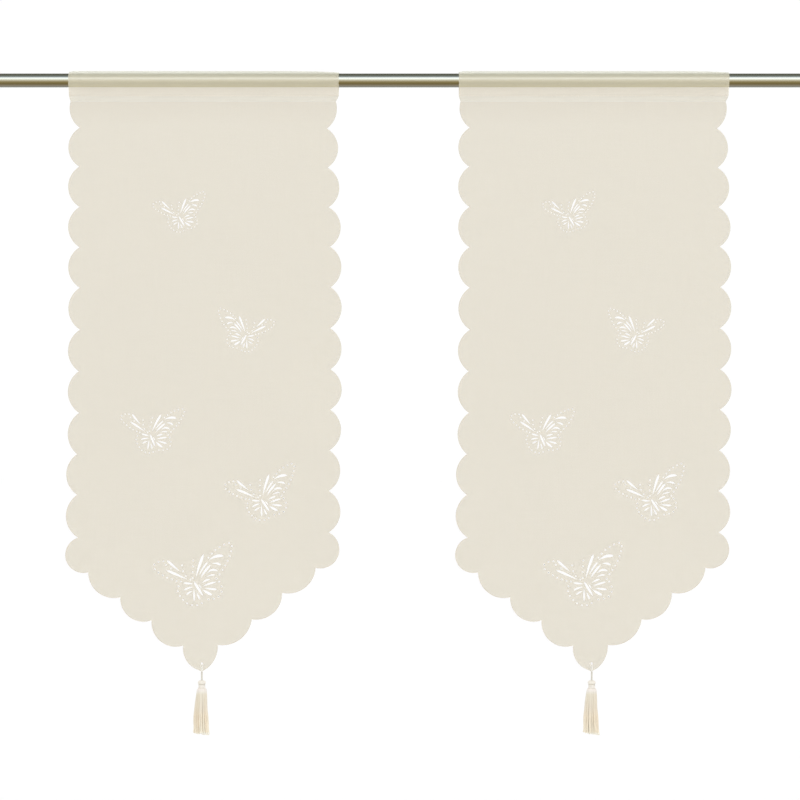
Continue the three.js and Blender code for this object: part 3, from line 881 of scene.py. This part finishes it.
for side, centre in PANEL_CENTRES.items():
    rows = [
        [(centre + TASSEL_U + hand * across, -out, z) for across, out, z in STRAND_WAY]
        for hand in STRAND_HANDS
    ]
    strands = add_object(f"tassel_cord_doubled_{side}", polylines("strands", rows, MM))
    run_tree(strands, laying, {
        "Diameter": STRAND_DIAMETER * MM, "Lay": STRAND_LAY * MM, "Plies": 2, "Step": CORD_STEP * MM,
        "Material": cord_rayon,
    })
    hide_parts(f"tassel_cord_{side}")
    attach(strands, "root")


# Tassels: a hank of twisted rayon yarn, tied in the middle by the cord, folded over it to make the head, and
# bound at the neck. The yarns run over the head, under the binding, and hang in a skirt that is cut by hand.
HEAD_TOP = -1000
YARN_DIAMETER = 1.5
YARN_TWIST = 3.2
YARN_RINGS = (
    # share of the hank's radius, number of yarns
    (1, 46), (0.89, 40), (0.76, 28), (0.58, 18),
)
YARN_POINTS = 56
YARN_LOOSENESS = 2.4
YARN_RAGGED = 2.4
YARN_LONGER = 2.0
YARN_CROWDING = 1.4
YARN_UNEVEN = 0.2
WAVES_APART = 7.0
WAVES_ALONG = 2.4
# The way of an outer yarn's middle line, as radius and height from the head's top, and its drift to the left.
YARN_WAY = (
    (1.9, -0.6), (3.7, -1.0), (5.1, -1.9), (5.9, -3.2), (6.0, -4.4), (5.6, -5.4), (4.6, -6.3), (4.2, -7.4),
    (4.3, -11.4), (5.0, -12.8), (7.1, -15.2), (7.8, -18.2), (8.5, -25), (9.5, -36), (10.2, -48), (11.5, -60),
    (12.0, -72), (12.3, -82), (13.6, -88.2),
)
YARN_DRIFT = ((0, 0), (-14, 0), (-22, -0.3), (-48, -1.4), (-88.2, -0.4))
DRIFT_SPAN = 8
BINDING = {
    "radius": 5.5, "top": -7.0, "turns": 9, "steps": 20, "rise": 0.6, "diameter": 0.66, "lay": 1.9,
    "start": 1.2, "tuck": 1,
}

lengths = distances(YARN_WAY)
shares = [length / lengths[-1] for length in lengths]
widest, skirt_length = YARN_WAY[-1][0], -YARN_WAY[-1][1]

hanging, sizes = add_group("hanging yarns", {
    "Widest": "NodeSocketFloat", "Length": "NodeSocketFloat", "Diameter": "NodeSocketFloat",
    "Looseness": "NodeSocketFloat", "Ragged": "NodeSocketFloat", "Longer": "NodeSocketFloat",
    "Points": "NodeSocketInt", "Seed": "NodeSocketInt", "Material": "NodeSocketMaterial",
})
# Each yarn keeps its root's place in the hank, and a chance of its own that sets its tint and its length.
plan = sizes["Geometry"]
spot = add_node(hanging, "GeometryNodeInputPosition").outputs[0]
chance = add_node(hanging, "FunctionNodeRandomValue", {"Seed": sizes["Seed"]}).outputs[1]
for name, value, kind in (("root", spot, "FLOAT_VECTOR"), ("tint", chance, "FLOAT")):
    plan = add_node(hanging, "GeometryNodeStoreNamedAttribute", {
        "Geometry": plan, "Name": name, "Value": value,
    }, data_type=kind, domain="POINT")
line = add_node(hanging, "GeometryNodeCurvePrimitiveLine")
line = add_node(hanging, "GeometryNodeResampleCurve", {"Curve": line, "Count": sizes["Points"]}, mode="COUNT")
yarns = add_node(hanging, "GeometryNodeInstanceOnPoints", {"Points": plan, "Instance": line})
yarns = add_node(hanging, "GeometryNodeRealizeInstances", {0: yarns})
root, tint = (
    add_node(hanging, "GeometryNodeInputNamedAttribute", {"Name": name}, data_type=kind).outputs[0]
    for name, kind in (("root", "FLOAT_VECTOR"), ("tint", "FLOAT"))
)
# A yarn's points lie closer in the head, where it bends most. At each point, the value gone is the share of
# the yarn that is behind it.
even = add_node(hanging, "GeometryNodeSplineParameter").outputs["Factor"]
gone = add_node(hanging, "ShaderNodeMath", {0: even, 1: YARN_CROWDING}, operation="POWER")
late = add_node(hanging, "ShaderNodeMath", {0: gone, 1: 2}, operation="POWER")
swell = add_node(hanging, "ShaderNodeFloatCurve", {"Value": gone}, knots=[
    (share, radius / widest) for share, (radius, _) in zip(shares, YARN_WAY)
])
fall = add_node(hanging, "ShaderNodeFloatCurve", {"Value": gone}, knots=[
    (share, -z / skirt_length) for share, (_, z) in zip(shares, YARN_WAY)
])
drift = add_node(hanging, "ShaderNodeFloatCurve", {"Value": fall}, knots=[
    (-z / skirt_length, 0.5 + aside / DRIFT_SPAN) for z, aside in YARN_DRIFT
])
drift = add_node(hanging, "ShaderNodeMath", {0: drift, 1: 0.5}, operation="SUBTRACT")
drift = add_node(hanging, "ShaderNodeMath", {0: drift, 1: DRIFT_SPAN * MM}, operation="MULTIPLY")
reach = add_node(hanging, "ShaderNodeMath", {0: swell, 1: sizes["Widest"]}, operation="MULTIPLY")
spot = add_node(hanging, "ShaderNodeVectorMath", {0: root, "Scale": reach}, operation="SCALE")
# The scissors leave the ends ragged, and those on the right longer.
uneven = add_node(hanging, "ShaderNodeMath", {0: tint, 1: 0.5}, operation="SUBTRACT")
uneven = add_node(hanging, "ShaderNodeMath", {0: uneven, 1: sizes["Ragged"]}, operation="MULTIPLY")
uneven = add_node(hanging, "ShaderNodeMath", {0: uneven, 1: late}, operation="MULTIPLY")
down = add_node(hanging, "ShaderNodeMath", {0: fall, 1: sizes["Length"]}, operation="MULTIPLY")
down = add_node(hanging, "ShaderNodeMath", {0: uneven, 1: down}, operation="SUBTRACT")
side_on = add_node(hanging, "ShaderNodeSeparateXYZ", {0: root}).outputs["X"]
longer = add_node(hanging, "ShaderNodeMath", {0: late, 1: sizes["Longer"]}, operation="MULTIPLY")
longer = add_node(hanging, "ShaderNodeMath", {0: longer, 1: side_on}, operation="MULTIPLY")
down = add_node(hanging, "ShaderNodeMath", {0: down, 1: longer}, operation="SUBTRACT")
hang = add_node(hanging, "ShaderNodeCombineXYZ", {"X": drift, "Z": down})
spot = add_node(hanging, "ShaderNodeVectorMath", {0: spot, 1: hang}, operation="ADD")
# Neighbouring yarns wander together in locks, more towards their ends.
ahead = add_node(hanging, "ShaderNodeMath", {0: gone, 1: WAVES_ALONG}, operation="MULTIPLY")
ahead = add_node(hanging, "ShaderNodeCombineXYZ", {"X": sizes["Seed"], "Z": ahead})
apart = add_node(hanging, "ShaderNodeVectorMath", {0: root, "Scale": WAVES_APART}, operation="SCALE")
apart = add_node(hanging, "ShaderNodeVectorMath", {0: apart, 1: ahead}, operation="ADD")
sway = add_node(hanging, "ShaderNodeTexNoise", {"Vector": apart, "Scale": 1, "Detail": 1}).outputs["Color"]
sway = add_node(hanging, "ShaderNodeVectorMath", {0: sway, 1: (0.5, 0.5, 0.5)}, operation="SUBTRACT")
sway = add_node(hanging, "ShaderNodeVectorMath", {0: sway, 1: (1, 1, 0)}, operation="MULTIPLY")
loose = add_node(hanging, "ShaderNodeMath", {0: gone, 1: sizes["Looseness"]}, operation="MULTIPLY")
sway = add_node(hanging, "ShaderNodeVectorMath", {0: sway, "Scale": loose}, operation="SCALE")
spot = add_node(hanging, "ShaderNodeVectorMath", {0: spot, 1: sway}, operation="ADD")
yarns = add_node(hanging, "GeometryNodeSetPosition", {0: yarns, "Position": spot})
run = add_node(hanging, "GeometryNodeSplineParameter").outputs["Length"]
yarns = add_node(hanging, "GeometryNodeStoreNamedAttribute", {
    "Geometry": yarns, "Name": "along", "Value": run,
}, data_type="FLOAT", domain="POINT")
radius = add_node(hanging, "ShaderNodeMath", {0: sizes["Diameter"], 1: 0.5}, operation="MULTIPLY")
section = add_node(hanging, "GeometryNodeCurvePrimitiveCircle", {"Resolution": 7, "Radius": radius})
spot = add_node(hanging, "GeometryNodeInputPosition")
section = add_node(hanging, "GeometryNodeStoreNamedAttribute", {
    "Geometry": section, "Name": "around", "Value": spot,
}, data_type="FLOAT_VECTOR", domain="POINT")
yarns = add_node(hanging, "GeometryNodeCurveToMesh", {
    "Curve": yarns, "Profile Curve": section, "Fill Caps": True,
})
yarns = add_node(hanging, "GeometryNodeSetShadeSmooth", {0: yarns})
end_group(hanging, yarns, sizes["Material"])

# Rayon yarn: two plies twisted 3.2 mm a turn, cream, each yarn dyed a little differently, with painted shade
# between the plies. It has a soft shine. Its tints down the tassel were matched to the photograph's rows, and
# hold some of its shading: painted shade in the groove under the head and just under the binding; whiter at
# the neck, warmer towards the skirt's end, and white at the cut ends.
YARN_TINTS_AND_SHADING = (
    # height from the head's top, darkest yarn, lightest yarn
    (-92, "F5EEDC", "FCFAF1"), (-87, "F5EEDC", "FCFAF1"), (-85.3, "F1E4CC", "F7F0DD"),
    (-60, "EEDFC7", "F5EBD6"), (-45, "E6DBC5", "EEE5D5"), (-23, "E4DBC7", "EDE7D7"),
    (-19.5, "E9E3D7", "F0EBDF"), (-17, "EEE7DF", "F5F0E9"), (-14, "EEE6DC", "F6EFE7"),
    (-12.8, "DFD8CD", "E8E2D8"), (-7.2, "E4DED0", "ECE6D9"), (-5.6, "E4DED0", "ECE6D9"),
    (-4.6, "ECE6DB", "F5F1E7"), (0, "E8E1D5", "F1ECE2"),
)

yarn_rayon, tree = new_material("twisted rayon tassel yarn")
run = add_node(tree, "ShaderNodeAttribute", attribute_name="along").outputs["Fac"]
around = add_node(tree, "ShaderNodeAttribute", attribute_name="around").outputs["Vector"]
around = add_node(tree, "ShaderNodeSeparateXYZ", {0: around})
turn = add_node(tree, "ShaderNodeMath", {0: around.outputs["Y"], 1: around.outputs["X"]}, operation="ARCTAN2")
turn = add_node(tree, "ShaderNodeMath", {
    0: run, 1: 2 * math.pi / (YARN_TWIST * MM), 2: turn,
}, operation="MULTIPLY_ADD")
ply = add_node(tree, "ShaderNodeMath", {0: turn}, operation="COSINE")
ply = add_node(tree, "ShaderNodeMath", {0: ply}, operation="ABSOLUTE")
ply = add_node(tree, "ShaderNodeMath", {0: ply, 1: 0.5}, operation="POWER")
tint = add_node(tree, "ShaderNodeAttribute", attribute_name="tint").outputs["Fac"]
colour = tinted(tree, [(HEAD_TOP + down, *ends) for down, *ends in YARN_TINTS_AND_SHADING], tint)
# Painted shade: the colour is darkened by up to a tenth in the groove between the plies.
ply_shade = add_node(tree, "ShaderNodeMapRange", {"Value": ply, "To Min": 0.9, "To Max": 1.0})
colour = add_node(tree, "ShaderNodeVectorMath", {0: colour, "Scale": ply_shade}, operation="SCALE")
height = add_node(tree, "ShaderNodeBump", {"Height": ply, "Strength": 0.6, "Distance": 0.00025})
shader = add_node(tree, "ShaderNodeBsdfPrincipled", {
    "Base Color": colour, "Roughness": 0.5, "Specular IOR Level": 0.25, "Sheen Weight": 0.05,
    "Normal": height,
})
add_node(tree, "ShaderNodeOutputMaterial", {"Surface": shader})

# Painted shade: the binding thread is tinted darker at its top, under the head.
binding_rayon = laid_rayon("rayon binding thread", (
    (HEAD_TOP - 9, "F3EDE2", "FFFBF4"), (HEAD_TOP - 6.5, "E6E0D3", "F3EEE4"),
))

for number, (side, centre) in enumerate(PANEL_CENTRES.items()):
    chances = random.Random(5 + number)
    roots = []
    for ring, (share, count) in enumerate(YARN_RINGS):
        places = [i + 0.5 * ring + YARN_UNEVEN * chances.uniform(-1, 1) for i in range(count)]
        roots += [(*reached(0, 0, 2 * math.pi * place / count, share), 0) for place in places]
    tassel = add_object(f"tassel_yarns_{side}", mesh_from("yarns", roots))
    run_tree(tassel, hanging, {
        "Widest": widest * MM, "Length": skirt_length * MM, "Diameter": YARN_DIAMETER * MM,
        "Looseness": YARN_LOOSENESS * MM, "Ragged": YARN_RAGGED * MM, "Longer": YARN_LONGER * MM,
        "Points": YARN_POINTS, "Seed": 3 + number, "Material": yarn_rayon,
    })
    tassel.data.transform(Matrix.Translation(Vector((centre + TASSEL_U, 0, HEAD_TOP)) * MM))

    steps = BINDING["steps"] * BINDING["turns"]
    row = []
    for i in range(steps + 1):
        lap = i / BINDING["steps"]
        reach = BINDING["radius"] - (BINDING["tuck"] if i in (0, steps) else 0)
        spot = reached(centre + TASSEL_U, 0, 2 * math.pi * lap + BINDING["start"], reach)
        row.append((*spot, HEAD_TOP + BINDING["top"] - BINDING["rise"] * lap))
    binding = add_object(f"tassel_binding_{side}", polylines("binding", [row], MM))
    run_tree(binding, laying, {
        "Diameter": BINDING["diameter"] * MM, "Lay": BINDING["lay"] * MM, "Plies": 2, "Step": CORD_STEP * MM,
        "Material": binding_rayon,
    })
    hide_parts(f"tassel_{side}")
    for piece in (tassel, binding):
        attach(piece, "root")
